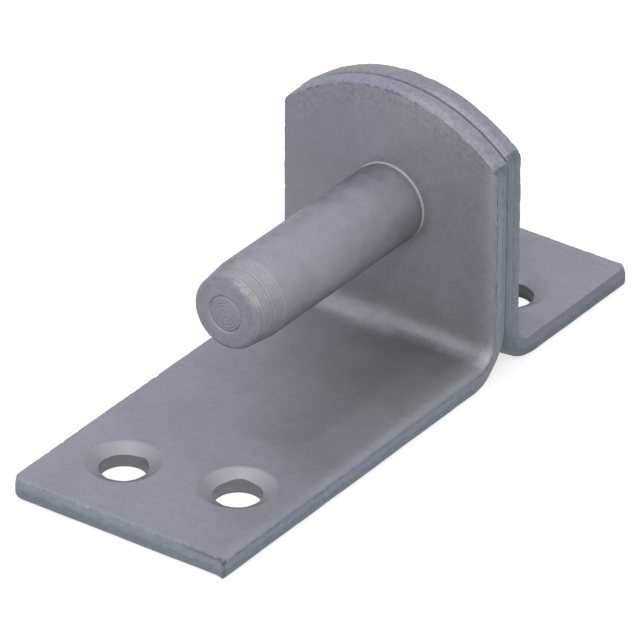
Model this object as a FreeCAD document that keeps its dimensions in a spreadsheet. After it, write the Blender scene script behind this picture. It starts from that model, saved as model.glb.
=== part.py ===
import FreeCAD, Part
import os

import Sketcher
from FreeCAD import Placement, Rotation, Vector

# Gate hinge pin: two bent straps stand back to back, and a turned pin is riveted through both.
# The row's frame: X across the straps, -Y towards the pin's tip, +Z up, all in millimetres.
# The origin is on the mounting face, in the middle of the two base plates' joined footprint.

SIZES = [
    ("strap_width", 48.6),
    ("strap_thickness", 4.0),
    ("bend_radius", 4.0),
    ("leaf_height", 54.8),
    ("crown_radius", 35.6),
    ("front_length", 88.7),
    ("rear_length", 41.0),
    ("edge_roll", 1.0),
    ("front_corner", 2.0),
    ("rear_corner", 2.2),
    ("crown_corner", 3.0),
    ("screw_hole_diameter", 9.0),
    ("sink_diameter", 14.9),
    ("sink_angle", 125.0),
    ("screw_side_offset", 11.0),
    ("front_left_inset", 17.2),
    ("front_right_inset", 22.2),
    ("rear_left_inset", 15.5),
    ("rear_right_inset", 20.5),
    ("pin_diameter", 16.0),
    ("pin_height", 30.8),
    ("pin_reach", 55.0),
    ("taper_length", 7.1),
    ("tip_diameter", 14.3),
    ("tip_round", 1.1),
    ("ring_diameter", 7.0),
    ("ring_depth", 0.2),
    ("relief_length", 1.2),
    ("relief_depth", 0.2),
    ("root_lip", 0.3),
    ("spigot_diameter", 12.0),
    ("spigot_clearance", 0.05),
    ("head_diameter", 18.0),
    ("head_rim", 0.8),
    ("head_height", 3.0),
]

doc = FreeCAD.newDocument("gate_hinge_pin")
sheet = doc.addObject("Spreadsheet::Sheet", "Sizes")
for row, (alias, value) in enumerate(SIZES, start=1):
    sheet.set("A%d" % row, alias)
    sheet.set("B%d" % row, str(value))
    sheet.setAlias("B%d" % row, alias)
doc.recompute()


def size(alias):
    return float(getattr(sheet, alias))


# Sketch helpers


def plane_of(body, role):
    return [item for item in body.Origin.OriginFeatures if item.Role == role][0]


def new_sketch(body, role, name):
    sketch = body.newObject("Sketcher::SketchObject", name)
    sketch.AttachmentSupport = [(plane_of(body, role), "")]
    sketch.MapMode = "FlatFace"
    return sketch


def add_closed_lines(sketch, points):
    count = len(points)
    for index in range(count):
        start = Vector(points[index][0], points[index][1], 0)
        end = Vector(points[(index + 1) % count][0], points[(index + 1) % count][1], 0)
        sketch.addGeometry(Part.LineSegment(start, end), False)
    for index in range(count):
        following = (index + 1) % count
        sketch.addConstraint(Sketcher.Constraint("Coincident", index, 2, following, 1))
        level = abs(points[index][1] - points[following][1]) < 1e-9
        upright = abs(points[index][0] - points[following][0]) < 1e-9
        if level:
            sketch.addConstraint(Sketcher.Constraint("Horizontal", index))
        if upright:
            sketch.addConstraint(Sketcher.Constraint("Vertical", index))


def name_size(sketch, name, expression, *constraint):
    index = sketch.addConstraint(Sketcher.Constraint(*constraint))
    sketch.renameConstraint(index, name)
    sketch.setExpression("Constraints." + name, expression)


def add_circle(sketch, name, x, y, radius, x_size, y_size, radius_size):
    circle = sketch.addGeometry(Part.Circle(Vector(x, y, 0), Vector(0, 0, 1), radius), False)
    name_size(sketch, name + "_radius", radius_size, "Radius", circle, radius)
    if x_size is None:
        sketch.addConstraint(Sketcher.Constraint("PointOnObject", circle, 3, -2))
    else:
        name_size(sketch, name + "_across", x_size, "DistanceX", -1, 1, circle, 3, x)
    name_size(sketch, name + "_along", y_size, "DistanceY", -1, 1, circle, 3, y)


# Feature helpers


def checked_cut(body, feature, what):
    before = feature.BaseFeature.Shape.Volume
    doc.recompute()
    if not feature.Shape.Volume < before - 1e-6:
        raise RuntimeError(what + " cuts nothing from " + body.Label)


def cut_both_ways(body, sketch, name):
    pocket = body.newObject("PartDesign::Pocket", name)
    pocket.Profile = sketch
    pocket.Type = "ThroughAll"
    pocket.SideType = "Symmetric"
    checked_cut(body, pocket, name)


def round_edges(body, name, radius_size, wanted):
    base = body.Tip
    names = []
    for index, edge in enumerate(base.Shape.Edges, start=1):
        if wanted(edge):
            names.append("Edge%d" % index)
    if not names:
        raise RuntimeError("no edge for " + name + " on " + body.Label)
    fillet = body.newObject("PartDesign::Fillet", name)
    fillet.Base = (base, names)
    fillet.setExpression("Radius", radius_size)
    doc.recompute()


def points_on(edge):
    first, last = edge.ParameterRange
    return [edge.valueAt(first + (last - first) * share) for share in (0.0, 0.5, 1.0)]


def near(value, target):
    return abs(value - target) < 1e-4


# A bent strap. In its own frame the base plate runs along +Y from the joint plane at Y = 0.
# The leaf stands on the joint plane with its back at Y = 0, and the underside is at Z = 0.


def add_side_profile(body, length_size):
    length = size(length_size)
    thickness = size("strap_thickness")
    blank_height = size("leaf_height") + thickness
    sketch = new_sketch(body, "YZ_Plane", "SideProfile")
    corners = [(0, 0), (length, 0), (length, thickness), (thickness, thickness)]
    corners += [(thickness, blank_height), (0, blank_height)]
    add_closed_lines(sketch, corners)
    sketch.addConstraint(Sketcher.Constraint("Coincident", 0, 1, -1, 1))
    name_size(sketch, "length", "Sizes." + length_size, "DistanceX", 0, 1, 0, 2, length)
    name_size(sketch, "plate", "Sizes.strap_thickness", "DistanceY", 1, 1, 1, 2, thickness)
    name_size(sketch, "leaf", "Sizes.strap_thickness", "DistanceX", 4, 2, 4, 1, thickness)
    height_size = "Sizes.leaf_height + Sizes.strap_thickness"
    name_size(sketch, "blank_height", height_size, "DistanceY", 5, 2, 5, 1, blank_height)
    pad = body.newObject("PartDesign::Pad", "Strap")
    pad.Profile = sketch
    pad.SideType = "Symmetric"
    pad.setExpression("Length", "Sizes.strap_width")
    doc.recompute()


def bend_strap(body):
    thickness = size("strap_thickness")

    def along_x_at(edge, y, z):
        return all(near(p.y, y) and near(p.z, z) for p in points_on(edge))

    round_edges(body, "InnerBend", "Sizes.bend_radius", lambda e: along_x_at(e, thickness, thickness))
    outer_size = "Sizes.bend_radius + Sizes.strap_thickness"
    round_edges(body, "OuterBend", outer_size, lambda e: along_x_at(e, 0, 0))


def cut_crown(body):
    radius = size("crown_radius")
    thickness = size("strap_thickness")
    centre = size("leaf_height") - radius
    half = size("strap_width") / 2 + thickness
    top = size("leaf_height") + 2 * thickness
    side_z = centre + (radius * radius - half * half) ** 0.5
    sketch = new_sketch(body, "XZ_Plane", "Crown")
    middle = Vector(0, centre + radius, 0)
    arc = Part.Arc(Vector(half, side_z, 0), middle, Vector(-half, side_z, 0))
    sketch.addGeometry(arc, False)
    sketch.addGeometry(Part.LineSegment(Vector(-half, side_z, 0), Vector(-half, top, 0)), False)
    sketch.addGeometry(Part.LineSegment(Vector(-half, top, 0), Vector(half, top, 0)), False)
    sketch.addGeometry(Part.LineSegment(Vector(half, top, 0), Vector(half, side_z, 0)), False)
    sketch.addConstraint(Sketcher.Constraint("Coincident", 0, 2, 1, 1))
    sketch.addConstraint(Sketcher.Constraint("Coincident", 1, 2, 2, 1))
    sketch.addConstraint(Sketcher.Constraint("Coincident", 2, 2, 3, 1))
    sketch.addConstraint(Sketcher.Constraint("Coincident", 3, 2, 0, 1))
    sketch.addConstraint(Sketcher.Constraint("Vertical", 1))
    sketch.addConstraint(Sketcher.Constraint("Vertical", 3))
    sketch.addConstraint(Sketcher.Constraint("Horizontal", 2))
    sketch.addConstraint(Sketcher.Constraint("PointOnObject", 0, 3, -2))
    name_size(sketch, "radius", "Sizes.crown_radius", "Radius", 0, radius)
    centre_size = "Sizes.leaf_height - Sizes.crown_radius"
    name_size(sketch, "centre", centre_size, "DistanceY", -1, 1, 0, 3, centre)
    half_size = "Sizes.strap_width / 2 + Sizes.strap_thickness"
    name_size(sketch, "right", half_size, "DistanceX", -1, 1, 2, 2, half)
    name_size(sketch, "left", half_size, "DistanceX", 2, 1, -1, 1, half)
    top_size = "Sizes.leaf_height + 2 * Sizes.strap_thickness"
    name_size(sketch, "top", top_size, "DistanceY", -1, 1, 2, 1, top)
    cut_both_ways(body, sketch, "CrownCut")


def bore_leaf(body):
    radius = size("spigot_diameter") / 2 + size("spigot_clearance")
    radius_size = "Sizes.spigot_diameter / 2 + Sizes.spigot_clearance"
    sketch = new_sketch(body, "XZ_Plane", "SpigotHole")
    add_circle(sketch, "hole", 0, size("pin_height"), radius, None, "Sizes.pin_height", radius_size)
    cut_both_ways(body, sketch, "SpigotBore")


def drill_screw_holes(body, length_size, plus_inset_size, minus_inset_size):
    length = size(length_size)
    offset = size("screw_side_offset")
    radius = size("screw_hole_diameter") / 2
    sketch = new_sketch(body, "XY_Plane", "ScrewHoles")
    sketch.setExpression("AttachmentOffset.Base.z", "Sizes.strap_thickness")
    for name, sign, inset_size in (("plus", 1, plus_inset_size), ("minus", -1, minus_inset_size)):
        along = length - size(inset_size)
        along_size = "Sizes.%s - Sizes.%s" % (length_size, inset_size)
        across_size = "%d * Sizes.screw_side_offset" % sign
        radius_size = "Sizes.screw_hole_diameter / 2"
        add_circle(sketch, name, sign * offset, along, radius, across_size, along_size, radius_size)
    doc.recompute()
    hole = body.newObject("PartDesign::Hole", "CountersunkHoles")
    hole.Profile = sketch
    doc.recompute()
    hole.ThreadType = "None"
    hole.DepthType = "ThroughAll"
    hole.HoleCutType = "Countersink"
    hole.HoleCutCustomValues = True
    hole.setExpression("Diameter", "Sizes.screw_hole_diameter")
    hole.setExpression("HoleCutDiameter", "Sizes.sink_diameter")
    hole.setExpression("HoleCutCountersinkAngle", "Sizes.sink_angle")
    checked_cut(body, hole, "screw holes")


def round_corners(body, length_size, plate_corner_size, sharp_side):
    half = size("strap_width") / 2
    length = size(length_size)
    thickness = size("strap_thickness")

    def plate_corner(edge):
        found = points_on(edge)
        upright = near(found[0].x, found[2].x) and near(found[0].y, found[2].y)
        at_corner = near(found[0].y, length) and near(abs(found[0].x), half)
        return upright and at_corner and not near(found[0].x, sharp_side * half)

    def crown_corner(edge):
        found = points_on(edge)
        across_leaf = near(found[0].x, found[2].x) and near(found[0].z, found[2].z)
        at_side = near(abs(found[0].x), half) and found[0].z > size("leaf_height") / 2
        return across_leaf and at_side and not near(found[0].x, sharp_side * half)

    round_edges(body, "PlateCorner", "Sizes." + plate_corner_size, plate_corner)
    round_edges(body, "CrownCorner", "Sizes.crown_corner", crown_corner)


def roll_outer_edges(body):
    bend = size("bend_radius") + size("strap_thickness")

    def on_outer_skin(point):
        if point.z >= bend:
            return near(point.y, 0)
        if point.y >= bend:
            return near(point.z, 0)
        return near(((point.y - bend) ** 2 + (point.z - bend) ** 2) ** 0.5, bend)

    def rim(edge):
        found = points_on(edge)
        if edge.isClosed() or not all(on_outer_skin(point) for point in found):
            return False
        bend_line = near(found[0].y, found[2].y) and near(found[0].z, found[2].z)
        return not (bend_line and near(max(found[0].y, found[0].z), bend))

    round_edges(body, "RolledRim", "Sizes.edge_roll", rim)


def make_strap(label, length_size, corner_size, plus_inset_size, minus_inset_size, sharp_side, turn):
    body = doc.addObject("PartDesign::Body", label)
    body.Label = label
    add_side_profile(body, length_size)
    bend_strap(body)
    cut_crown(body)
    bore_leaf(body)
    drill_screw_holes(body, length_size, plus_inset_size, minus_inset_size)
    round_corners(body, length_size, corner_size, sharp_side)
    roll_outer_edges(body)
    body.Placement = Placement(Vector(0, 0, 0), Rotation(Vector(0, 0, 1), turn))
    body.setExpression("Placement.Base.y", "(Sizes.front_length - Sizes.rear_length) / 2")
    doc.recompute()
    return body


# The pin, turned from round bar. In its own frame the axis is Y and the joint plane is Y = 0.
# Its shoulder sits on the front leaf, and its spigot is riveted over behind the rear leaf.


def make_pin(label):
    body = doc.addObject("PartDesign::Body", label)
    body.Label = label
    thickness = size("strap_thickness")
    reach = size("pin_reach")
    radius = size("pin_diameter") / 2
    tip = size("tip_diameter") / 2
    spigot = size("spigot_diameter") / 2
    head = size("head_diameter") / 2
    rim_y = thickness + size("head_rim")
    crown_y = thickness + size("head_height")
    taper_y = -reach + size("taper_length")

    sketch = new_sketch(body, "YZ_Plane", "TurnedProfile")
    waist_y = -thickness - size("root_lip")
    relief_y = waist_y - size("relief_length")
    waist = radius - size("relief_depth")
    corners = [(-reach, 0), (-reach, tip), (taper_y, radius), (relief_y, radius), (waist_y, waist)]
    corners += [(-thickness, radius), (-thickness, spigot), (thickness, spigot)]
    corners += [(thickness, head), (rim_y, head)]
    for start, end in zip(corners, corners[1:]):
        line = Part.LineSegment(Vector(start[0], start[1], 0), Vector(end[0], end[1], 0))
        sketch.addGeometry(line, False)
    rise = crown_y - rim_y
    dome = (head * head + rise * rise) / (2 * rise)
    lean = (crown_y - dome, 0)
    half_way = (lean[0] + dome * (1 - (head / 2 / dome) ** 2) ** 0.5, head / 2)
    arc_points = [(rim_y, head), half_way, (crown_y, 0)]
    arc_vectors = [Vector(point[0], point[1], 0) for point in arc_points]
    sketch.addGeometry(Part.Arc(*arc_vectors), False)
    sketch.addGeometry(Part.LineSegment(Vector(crown_y, 0, 0), Vector(-reach, 0, 0)), False)
    arc, axis_line = 9, 10
    for index in range(8):
        sketch.addConstraint(Sketcher.Constraint("Coincident", index, 2, index + 1, 1))
    sketch.addConstraint(Sketcher.Constraint("Coincident", 8, 2, arc, 2))
    sketch.addConstraint(Sketcher.Constraint("Coincident", arc, 1, axis_line, 1))
    sketch.addConstraint(Sketcher.Constraint("Coincident", axis_line, 2, 0, 1))
    for index in (0, 5, 7):
        sketch.addConstraint(Sketcher.Constraint("Vertical", index))
    for index in (2, 6, 8, axis_line):
        sketch.addConstraint(Sketcher.Constraint("Horizontal", index))
    sketch.addConstraint(Sketcher.Constraint("PointOnObject", axis_line, 1, -1))
    sketch.addConstraint(Sketcher.Constraint("PointOnObject", arc, 3, -1))
    name_size(sketch, "reach", "Sizes.pin_reach", "DistanceX", 0, 1, -1, 1, reach)
    name_size(sketch, "tip", "Sizes.tip_diameter / 2", "DistanceY", -1, 1, 0, 2, tip)
    name_size(sketch, "taper", "Sizes.taper_length", "DistanceX", 1, 1, 1, 2, size("taper_length"))
    name_size(sketch, "shank", "Sizes.pin_diameter / 2", "DistanceY", -1, 1, 2, 1, radius)
    name_size(sketch, "relief", "Sizes.relief_length", "DistanceX", 3, 1, 3, 2, size("relief_length"))
    name_size(sketch, "waist", "Sizes.relief_depth", "DistanceY", 3, 2, 3, 1, size("relief_depth"))
    name_size(sketch, "lip", "Sizes.root_lip", "DistanceX", 4, 1, 4, 2, size("root_lip"))
    name_size(sketch, "root", "Sizes.pin_diameter / 2", "DistanceY", -1, 1, 4, 2, radius)
    name_size(sketch, "shoulder", "Sizes.strap_thickness", "DistanceX", 4, 2, -1, 1, thickness)
    name_size(sketch, "spigot", "Sizes.spigot_diameter / 2", "DistanceY", -1, 1, 6, 1, spigot)
    name_size(sketch, "seat", "Sizes.strap_thickness", "DistanceX", -1, 1, 6, 2, thickness)
    name_size(sketch, "head", "Sizes.head_diameter / 2", "DistanceY", -1, 1, 8, 1, head)
    name_size(sketch, "rim", "Sizes.head_rim", "DistanceX", 8, 1, 8, 2, size("head_rim"))
    crown_size = "Sizes.strap_thickness + Sizes.head_height"
    name_size(sketch, "crown", crown_size, "DistanceX", -1, 1, arc, 1, crown_y)

    turned = body.newObject("PartDesign::Revolution", "TurnedBar")
    turned.Profile = sketch
    turned.ReferenceAxis = (sketch, ["H_Axis"])
    turned.Angle = 360
    doc.recompute()

    def tip_edge(edge):
        found = points_on(edge)
        return edge.isClosed() and all(near(p.y, -reach) for p in found)

    round_edges(body, "TipRound", "Sizes.tip_round", tip_edge)
    cut_facing_ring(body)
    body.setExpression("Placement.Base.y", "(Sizes.front_length - Sizes.rear_length) / 2")
    body.setExpression("Placement.Base.z", "Sizes.pin_height")
    doc.recompute()
    return body


def cut_facing_ring(body):
    reach = size("pin_reach")
    ring = size("ring_diameter") / 2
    depth = size("ring_depth")
    sketch = new_sketch(body, "YZ_Plane", "FacingRing")
    corners = [(-reach, ring - depth), (-reach, ring + depth), (-reach + depth, ring)]
    add_closed_lines(sketch, corners)
    name_size(sketch, "face", "Sizes.pin_reach", "DistanceX", 0, 1, -1, 1, reach)
    inner_size = "Sizes.ring_diameter / 2 - Sizes.ring_depth"
    name_size(sketch, "inner", inner_size, "DistanceY", -1, 1, 0, 1, ring - depth)
    outer_size = "Sizes.ring_diameter / 2 + Sizes.ring_depth"
    name_size(sketch, "outer", outer_size, "DistanceY", -1, 1, 0, 2, ring + depth)
    name_size(sketch, "deep", "Sizes.ring_depth", "DistanceX", 0, 1, 1, 2, depth)
    name_size(sketch, "middle", "Sizes.ring_diameter / 2", "DistanceY", -1, 1, 1, 2, ring)
    groove = body.newObject("PartDesign::Groove", "FacingGroove")
    groove.Profile = sketch
    groove.ReferenceAxis = (sketch, ["H_Axis"])
    groove.Angle = 360
    checked_cut(body, groove, "facing ring")


front = make_strap(
    "front_bracket", "front_length", "front_corner", "front_left_inset", "front_right_inset", -1, 180
)
rear = make_strap(
    "rear_bracket", "rear_length", "rear_corner", "rear_right_inset", "rear_left_inset", 0, 0
)
pin = make_pin("pin")
doc.recompute()

# Everything must have been rebuilt cleanly before a file is written

for item in doc.Objects:
    if "Invalid" in item.State or "Error" in item.State:
        raise RuntimeError("failed: " + item.Name + " " + str(item.State))
pieces = (front, rear, pin)
for piece in pieces:
    if piece.Shape.isNull() or not piece.Shape.isValid() or len(piece.Shape.Solids) != 1:
        raise RuntimeError("bad shape: " + piece.Label)

os.makedirs("parts", exist_ok=True)
for piece in pieces:
    piece.Shape.exportStep("parts/" + piece.Label + ".step")
    box = piece.Shape.BoundBox
    print(piece.Label, "volume %.1f" % piece.Shape.Volume, box)
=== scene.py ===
from math import atan2, cos, pi, radians, sin, sqrt, tan
from types import SimpleNamespace

import bmesh
import bpy
import numpy as np
from mathutils import Matrix, Vector, geometry, noise


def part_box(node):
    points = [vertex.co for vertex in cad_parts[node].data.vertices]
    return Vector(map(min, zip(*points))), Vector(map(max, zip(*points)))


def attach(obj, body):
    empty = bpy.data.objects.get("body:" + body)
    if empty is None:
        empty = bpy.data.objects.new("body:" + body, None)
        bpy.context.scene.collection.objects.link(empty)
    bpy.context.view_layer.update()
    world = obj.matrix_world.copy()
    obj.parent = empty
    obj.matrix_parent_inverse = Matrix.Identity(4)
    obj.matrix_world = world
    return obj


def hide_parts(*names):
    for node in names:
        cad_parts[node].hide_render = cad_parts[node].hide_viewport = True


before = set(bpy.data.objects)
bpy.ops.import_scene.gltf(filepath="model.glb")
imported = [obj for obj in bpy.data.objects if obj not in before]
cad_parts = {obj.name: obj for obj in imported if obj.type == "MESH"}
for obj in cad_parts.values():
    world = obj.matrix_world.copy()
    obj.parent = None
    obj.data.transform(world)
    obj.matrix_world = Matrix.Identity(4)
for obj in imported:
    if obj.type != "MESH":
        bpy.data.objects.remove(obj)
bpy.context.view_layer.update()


# Front bracket. The long strap, blanked from 4 mm steel plate and bent up at its inner end, with
# two countersunk screw holes in its base plate and the pin's bore in its leaf. Blanking rolls the
# outer edges over and tears the inner ones, the bend upsets its ends, and all of it is zinc plated.

# Sizes are in millimetres, and MM turns them into the frame's metres. The slack, the steps and the
# counts of points are the mesh's own: how far it stays inside the source's box, and how fine it is.

MM = 0.001
plate = 4.0
inner_bend = 4.0
outer_bend = inner_bend + plate
bend_run = 0.5 * pi * (inner_bend + 0.5 * plate)
edge_roll = 1.0
crown_radius = 35.6
side_slack = 0.03
skin_reach = 4.0
straight_side = 36.0
step_along = 0.33
skin_step = 1.3
bend_step = 0.55
corner_points = 12
hole_points = 72
screw_hole = 9.0
screw_sink = 14.7
sink_slope = tan(radians(27.5))
sink_blend = 0.42
spigot_bore = 12.1
pin_height = 30.8

front_low, front_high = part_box("front_bracket")
joint_y = front_high.y / MM
half_width = front_high.x / MM
leaf_height = front_high.z / MM
crown_centre = bend_run + leaf_height - crown_radius - outer_bend
crown_foot = crown_centre + sqrt(crown_radius**2 - half_width**2)
pin_place = bend_run + pin_height - outer_bend

# A blank is drawn flat. x runs across it, and q along it: under zero in the base plate, then up to
# bend_run in the bend, and above that in the leaf. Depth is 0 on the outer skin and plate inside.
# Screws are given from the middle and from the free end, and corners as their radius on the inner skin and
# below it, left before right. A trim moves an edge in, place by place, a lean tilts its torn zone, and the
# droop lowers its lip. The scoop is a hollow in the right side under the crown: how deep, how far down and
# how long. A chip is where round its screw hole the rim is broken, as an angle, and how far. The marks'
# strengths follow: one for the stains with the painted light and shade, bare_sink for the bare countersinks
# with a painted highlight on their far walls, dull_wall for the dull walls, and one for the painted shade
# in the screw holes' bores.

front_blank = SimpleNamespace(
    toward=-1,
    free_end=outer_bend - (front_high.y - front_low.y) / MM,
    screws=((-10.9, 17.05), (11.3, 22.05)),
    plate_corners=((2.6, 2.1), (0.22, 0.8)),
    crown_corners=((3.0, 3.4), (0.14, 0.6)),
    end_trim=(0.05, 0.6),
    left_trim=(0.42, 0.16, 0.02, 0.2),
    crown_trim=(0.1, -0.02, -0.02),
    end_lean=0.30,
    right_lean=0.10,
    crown_lean=0.42,
    droop=0.34,
    ragged=1.6,
    scoop=(1.1, 0.55, 0.75),
    stain_and_shade_strength=1.0,
    dull_wall=0.0,
    bare_sink=1.0,
    bore_foot=0.0,
    bore_shade=0.0,
    chips=((1.2, 0.25), (2.1, 0.4)),
    seed=3.0,
)


def smooth(low, high, value):
    """0 at low and 1 at high, with a soft passage between them. Low may be the larger of the two."""
    share = np.clip((value - low) / (high - low), 0.0, 1.0)
    return share * share * (3.0 - 2.0 * share)


def near(value, centre, width):
    """1 at the centre, fading out over this width to either side."""
    return np.exp(-(((value - centre) / width) ** 2))


def patch(place, x, q, across, along):
    """1 in the middle of an oval patch, fading out over its reach."""
    return np.exp(-(((place[:, 0] - x) / across) ** 2) - ((place[:, 1] - q) / along) ** 2)


def wander(points, size, seed):
    """Smooth noise from about -1 to 1 that varies over this many millimetres."""
    return np.array([noise.noise(Vector(p) / size + Vector((seed, 0, 0))) for p in points])


def arc_points(x, q, radius, start, end, count):
    angle = np.linspace(start, end, count, endpoint=False)
    return np.column_stack((x + radius * np.cos(angle), q + radius * np.sin(angle)))


def line_points(start, end, count):
    share = np.linspace(0.0, 1.0, count, endpoint=False)[:, None]
    return (1.0 - share) * np.array(start) + share * np.array(end)


def blank_outline(blank, inset, depth):
    """The blank's closed outline, moved in by inset, with its corners as round as they are at depth."""
    lower = 1.0 - smooth(0.6 * plate, 0.98 * plate, depth)
    side = half_width - side_slack - inset
    free = blank.free_end + side_slack + inset
    crown = crown_radius - inset

    def corner(radii):
        return max(radii[0] + (radii[1] - radii[0]) * lower - inset, 0.12)

    plate_left, plate_right = [corner(radii) for radii in blank.plate_corners]
    crown_left, crown_right = [corner(radii) for radii in blank.crown_corners]
    place_left, place_right = [
        crown_centre + sqrt((crown - r) ** 2 - (side - r) ** 2) for r in (crown_left, crown_right)
    ]
    lean_left = atan2(place_left - crown_centre, side - crown_left)
    lean_right = atan2(place_right - crown_centre, side - crown_right)
    across = round(2 * half_width / step_along)
    along = round((bend_run + straight_side - blank.free_end) / step_along)
    turn = corner_points
    sections = (
        line_points((plate_left - side, free), (side - plate_right, free), across),
        arc_points(side - plate_right, free + plate_right, plate_right, -0.5 * pi, 0.0, turn),
        line_points((side, free + plate_right), (side, place_right), along),
        arc_points(side - crown_right, place_right, crown_right, 0.0, lean_right, turn),
        arc_points(0.0, crown_centre, crown, lean_right, pi - lean_left, round(1.1 * across)),
        arc_points(crown_left - side, place_left, crown_left, pi - lean_left, pi, turn),
        line_points((-side, place_left), (-side, free + plate_left), along),
        arc_points(plate_left - side, free + plate_left, plate_left, pi, 1.5 * pi, turn),
    )
    kinds = ("end", "side", "side", "side", "crown", "side", "side", "side")
    return np.vstack(sections), np.repeat(kinds, [len(section) for section in sections])


def edge_rings():
    """How far in and how deep each ring of the edge lies, from the outer skin over to the inner."""
    rings = [(skin_reach, 0.0), (2.6, 0.0), (1.7, 0.0)]
    for turn in np.linspace(0.0, 0.5 * pi, 8):
        rings.append((edge_roll * (1.0 - sin(turn)), edge_roll * (1.0 - cos(turn))))
    rings += [(0.0, depth) for depth in np.linspace(1.3, 3.7, 9)]
    rings += [(0.0, plate - 0.16), (0.04, plate - 0.06), (0.13, plate), (0.28, plate)]
    rings += [(inset, plate) for inset in (0.5, 0.85, 1.3, 1.9, 2.7, skin_reach)]
    return rings


def screw_hole_rings(foot):
    """Radius and depth of each ring of a countersunk hole, from the inner skin down to the outer,
    where the bore's radius is larger by foot."""
    sink, bore = 0.5 * screw_sink, 0.5 * screw_hole
    rings = [(sink + 1.3, plate), (sink + 0.8, plate)]
    for share in np.linspace(-1.0, 1.0, 7):
        drop = sink_blend * sink_slope * (0.5 + 0.5 * share) ** 2
        rings.append((sink - sink_blend * share, plate - drop))
    rings += [(r, plate - (sink - r) * sink_slope) for r in np.linspace(6.3, bore + 0.1, 6)]
    seat = plate - (sink - bore) * sink_slope
    rings += [(bore + 0.03, seat - 0.02), (bore, seat - 0.08)]
    rings += [(bore + foot * smooth(1.0, 0.0, depth), depth) for depth in np.linspace(seat - 0.4, 0.2, 8)]
    return rings + [(bore + foot, 0.04), (bore + foot + 0.04, 0.0), (bore + 0.4, 0.0), (bore + 1.0, 0.0)]


def bore_rings():
    """Radius and depth of each ring of the pin's bore, with both its rims broken by 0.1 mm."""
    radius = 0.5 * spigot_bore
    inner_rim = [(radius + 1.2, plate), (radius + 0.1, plate), (radius, plate - 0.1)]
    return inner_rim + [(radius, 0.1), (radius + 0.1, 0.0), (radius + 1.2, 0.0)]


def roughen_edge(blank, rings):
    """The rings of the edge as (x, q, depth) points, with the torn zone leaning in and its lip ragged."""
    rim, kinds = blank_outline(blank, 0.0, plate)
    across, along = rim.T
    flat_rim = np.column_stack((rim, np.zeros(len(rim))))
    tangent = np.roll(rim, -1, axis=0) - np.roll(rim, 1, axis=0)
    tangent /= np.linalg.norm(tangent, axis=1)[:, None]
    inward = np.column_stack((-tangent[:, 1], tangent[:, 0]))
    passage = 8
    window = np.hanning(2 * passage + 1)
    window /= window.sum()

    def by_kind(end, crown, left, right):
        """A value for each point of the rim, passing softly from one kind of edge to the next."""
        value = np.select([kinds == "end", kinds == "crown", across < 0], [end, crown, left], right)
        closed = np.concatenate((value[-passage:], value, value[:passage]))
        return np.convolve(closed, window, "valid")

    def uneven(size, shift=0):
        return wander(flat_rim, size, blank.seed + shift)

    # The blank's own shape comes first: how each edge leans, droops and is trimmed.
    lean = by_kind(blank.end_lean, blank.crown_lean, 0.0, blank.right_lean)
    droop = blank.droop * by_kind(0.35, 0.15, 0.0, 1.0)
    end_trim = np.interp(across, (-half_width, half_width), blank.end_trim)
    crown_trim = np.interp(across, (-half_width, 0.0, half_width), blank.crown_trim)
    left_places = (blank.free_end, blank.free_end + 30.0, 0.0, bend_run + 3.0)
    trim = by_kind(end_trim, crown_trim, np.interp(along, left_places, blank.left_trim), 0.0)

    # The shear's clean cut ends at this depth. Below it the plate tears, and its lip is left ragged.
    torn_from = 2.1 + 0.9 * uneven(5.0) + 0.4 * uneven(1.7)
    slow = 0.10 * uneven(7.0, 11) + 0.04 * uneven(3.0, 17)
    ragged = 0.10 * uneven(1.5, 5) + 0.06 * uneven(0.6, 7)
    ragged *= blank.ragged * by_kind(1.0, 1.0, 0.25, 0.8)
    chips = smooth(0.25, 0.5, uneven(2.2, 23)) * min(blank.ragged, 1.0)
    burr = smooth(0.1, 0.5, uneven(1.3, 31))
    scoop_size, scoop_drop, scoop_length = blank.scoop
    scoop = scoop_size * near(along, crown_foot - scoop_drop, scoop_length) * (across > half_width - 1.0)
    cracks = near(along, -1.0, 6.0) * smooth(0.05, 0.4, uneven(1.1, 43))
    furthest_out = np.where(kinds == "crown", 0.0, 0.005 - side_slack)

    # Every ring is moved by these, less and less towards the middle of the skins.
    made = []
    for inset, depth in rings:
        line, _ = blank_outline(blank, inset, depth)
        place = np.column_stack((line, np.full(len(line), depth)))
        fade = max(0.0, 1.0 - inset / skin_reach) ** 2
        torn = smooth(torn_from, plate + 0.3, depth) * fade
        at_lip = smooth(plate - 0.7, plate, depth) * max(0.0, 1.0 - inset / 0.6)
        grain = 0.035 * wander(place, 0.8, blank.seed + 2) * (0.5 < depth < plate - 0.05)
        moved = 1.6 * lean * torn + (trim + slow) * fade + (ragged + 0.03 + 0.16 * chips) * at_lip
        moved += grain * torn + scoop * fade * smooth(0.8, 2.6, depth)
        place[:, :2] += inward * np.maximum(moved, furthest_out)[:, None]
        place[:, 2] += 0.30 * cracks * fade * smooth(1.2, 0.0, depth)
        place[:, 2] += (0.06 * burr - 0.12 * chips) * at_lip * (inset > 0.01)
        place[:, 2] -= droop * (1.0 - inset / skin_reach) ** 1.7 * (depth > 0.9 * plate)
        made.append(place)
    return np.array(made), kinds


def upset_bend(place):
    """Bending squeezes the inner skin out at the strap's sides and draws the outer skin in. It is
    felt a little way past the bend, and the inner skin swells most just inside its sides."""
    place = place.copy()
    from_middle = np.abs(place[:, 0])
    inner = np.clip(place[:, 2] / plate, 0.0, 1.0)
    past_bend, drawn_in, lifted, swollen = 2.5, 0.75, 0.3, 0.6
    in_bend = np.clip((place[:, 1] + past_bend) / (bend_run + 2 * past_bend), 0.0, 1.0)
    felt = np.sin(pi * in_bend) ** 2
    at_side = felt * near(from_middle, half_width, 3.6)
    swell = felt * near(from_middle, half_width - 2.6, 2.0)
    place[:, 0] -= np.sign(place[:, 0]) * drawn_in * at_side * (1.0 - inner) ** 1.3
    place[:, 2] += swollen * swell * inner + lifted * at_side * (1.0 - inner)
    return place


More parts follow.
